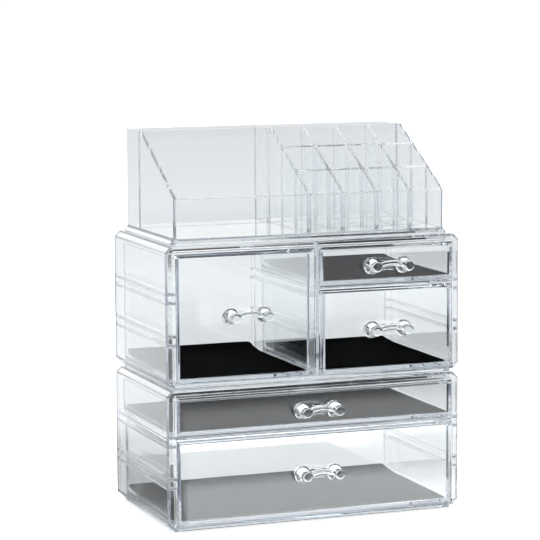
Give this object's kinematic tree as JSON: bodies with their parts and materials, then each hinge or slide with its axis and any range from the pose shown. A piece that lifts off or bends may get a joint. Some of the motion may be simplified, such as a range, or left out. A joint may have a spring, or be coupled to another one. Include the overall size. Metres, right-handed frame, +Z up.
{
  "type": "cosmetics organizer tower",
  "caption": "Clear stacking cosmetics organizer: two cabinets with sliding drawers and bridge handles under an open tray with a sloping profile and lipstick cells.",
  "frame": {"origin": "centre of the footprint rectangle of the whole part, handles included, at the foot's underside", "axes": "+X to the right as seen from the front, -Y towards the drawer fronts, +Z up"},
  "size_m": [0.24, 0.1484, 0.2964],
  "materials": {
    "clear_polystyrene": "polished, clear",
    "mat_foam": "matte"
  },
  "bodies": {
    "base_cabinet": {"base_cabinet_shell": "clear_polystyrene"},
    "mid_cabinet": {"mid_cabinet_shell": "clear_polystyrene", "mid_partition": "clear_polystyrene"},
    "tray": {"top_tray": "clear_polystyrene"},
    "drawer_unit_base_upper": {"drawer_base_upper": "clear_polystyrene", "handle_base_upper": "clear_polystyrene", "mat_base_upper": "mat_foam"},
    "drawer_unit_base_lower": {"drawer_base_lower": "clear_polystyrene", "handle_base_lower": "clear_polystyrene", "mat_base_lower": "mat_foam"},
    "drawer_unit_mid_left": {"drawer_mid_left": "clear_polystyrene", "handle_mid_left": "clear_polystyrene", "mat_mid_left": "mat_foam"},
    "drawer_unit_mid_right_upper": {"drawer_mid_right_upper": "clear_polystyrene", "handle_mid_right_upper": "clear_polystyrene", "mat_mid_right_upper": "mat_foam"},
    "drawer_unit_mid_right_lower": {"drawer_mid_right_lower": "clear_polystyrene", "handle_mid_right_lower": "clear_polystyrene", "mat_mid_right_lower": "mat_foam"}
  },
  "joints": [
    {"name": "slide_base_upper", "type": "slide", "parent": "base_cabinet", "child": "drawer_unit_base_upper", "axis": [0, -1, 0], "range_m": [0, 0.1]},
    {"name": "slide_base_lower", "type": "slide", "parent": "base_cabinet", "child": "drawer_unit_base_lower", "axis": [0, -1, 0], "range_m": [0, 0.1]},
    {"name": "slide_mid_left", "type": "slide", "parent": "mid_cabinet", "child": "drawer_unit_mid_left", "axis": [0, -1, 0], "range_m": [0, 0.1]},
    {"name": "slide_mid_right_upper", "type": "slide", "parent": "mid_cabinet", "child": "drawer_unit_mid_right_upper", "axis": [0, -1, 0], "range_m": [0, 0.1]},
    {"name": "slide_mid_right_lower", "type": "slide", "parent": "mid_cabinet", "child": "drawer_unit_mid_right_lower", "axis": [0, -1, 0], "range_m": [0, 0.1]},
    {"name": "lift_mid_cabinet", "type": "slide", "parent": "base_cabinet", "child": "mid_cabinet", "axis": [0, 0, 1], "range_m": [0, 0.06]},
    {"name": "lift_tray", "type": "slide", "parent": "mid_cabinet", "child": "tray", "axis": [0, 0, 1], "range_m": [0, 0.06]}
  ]
}
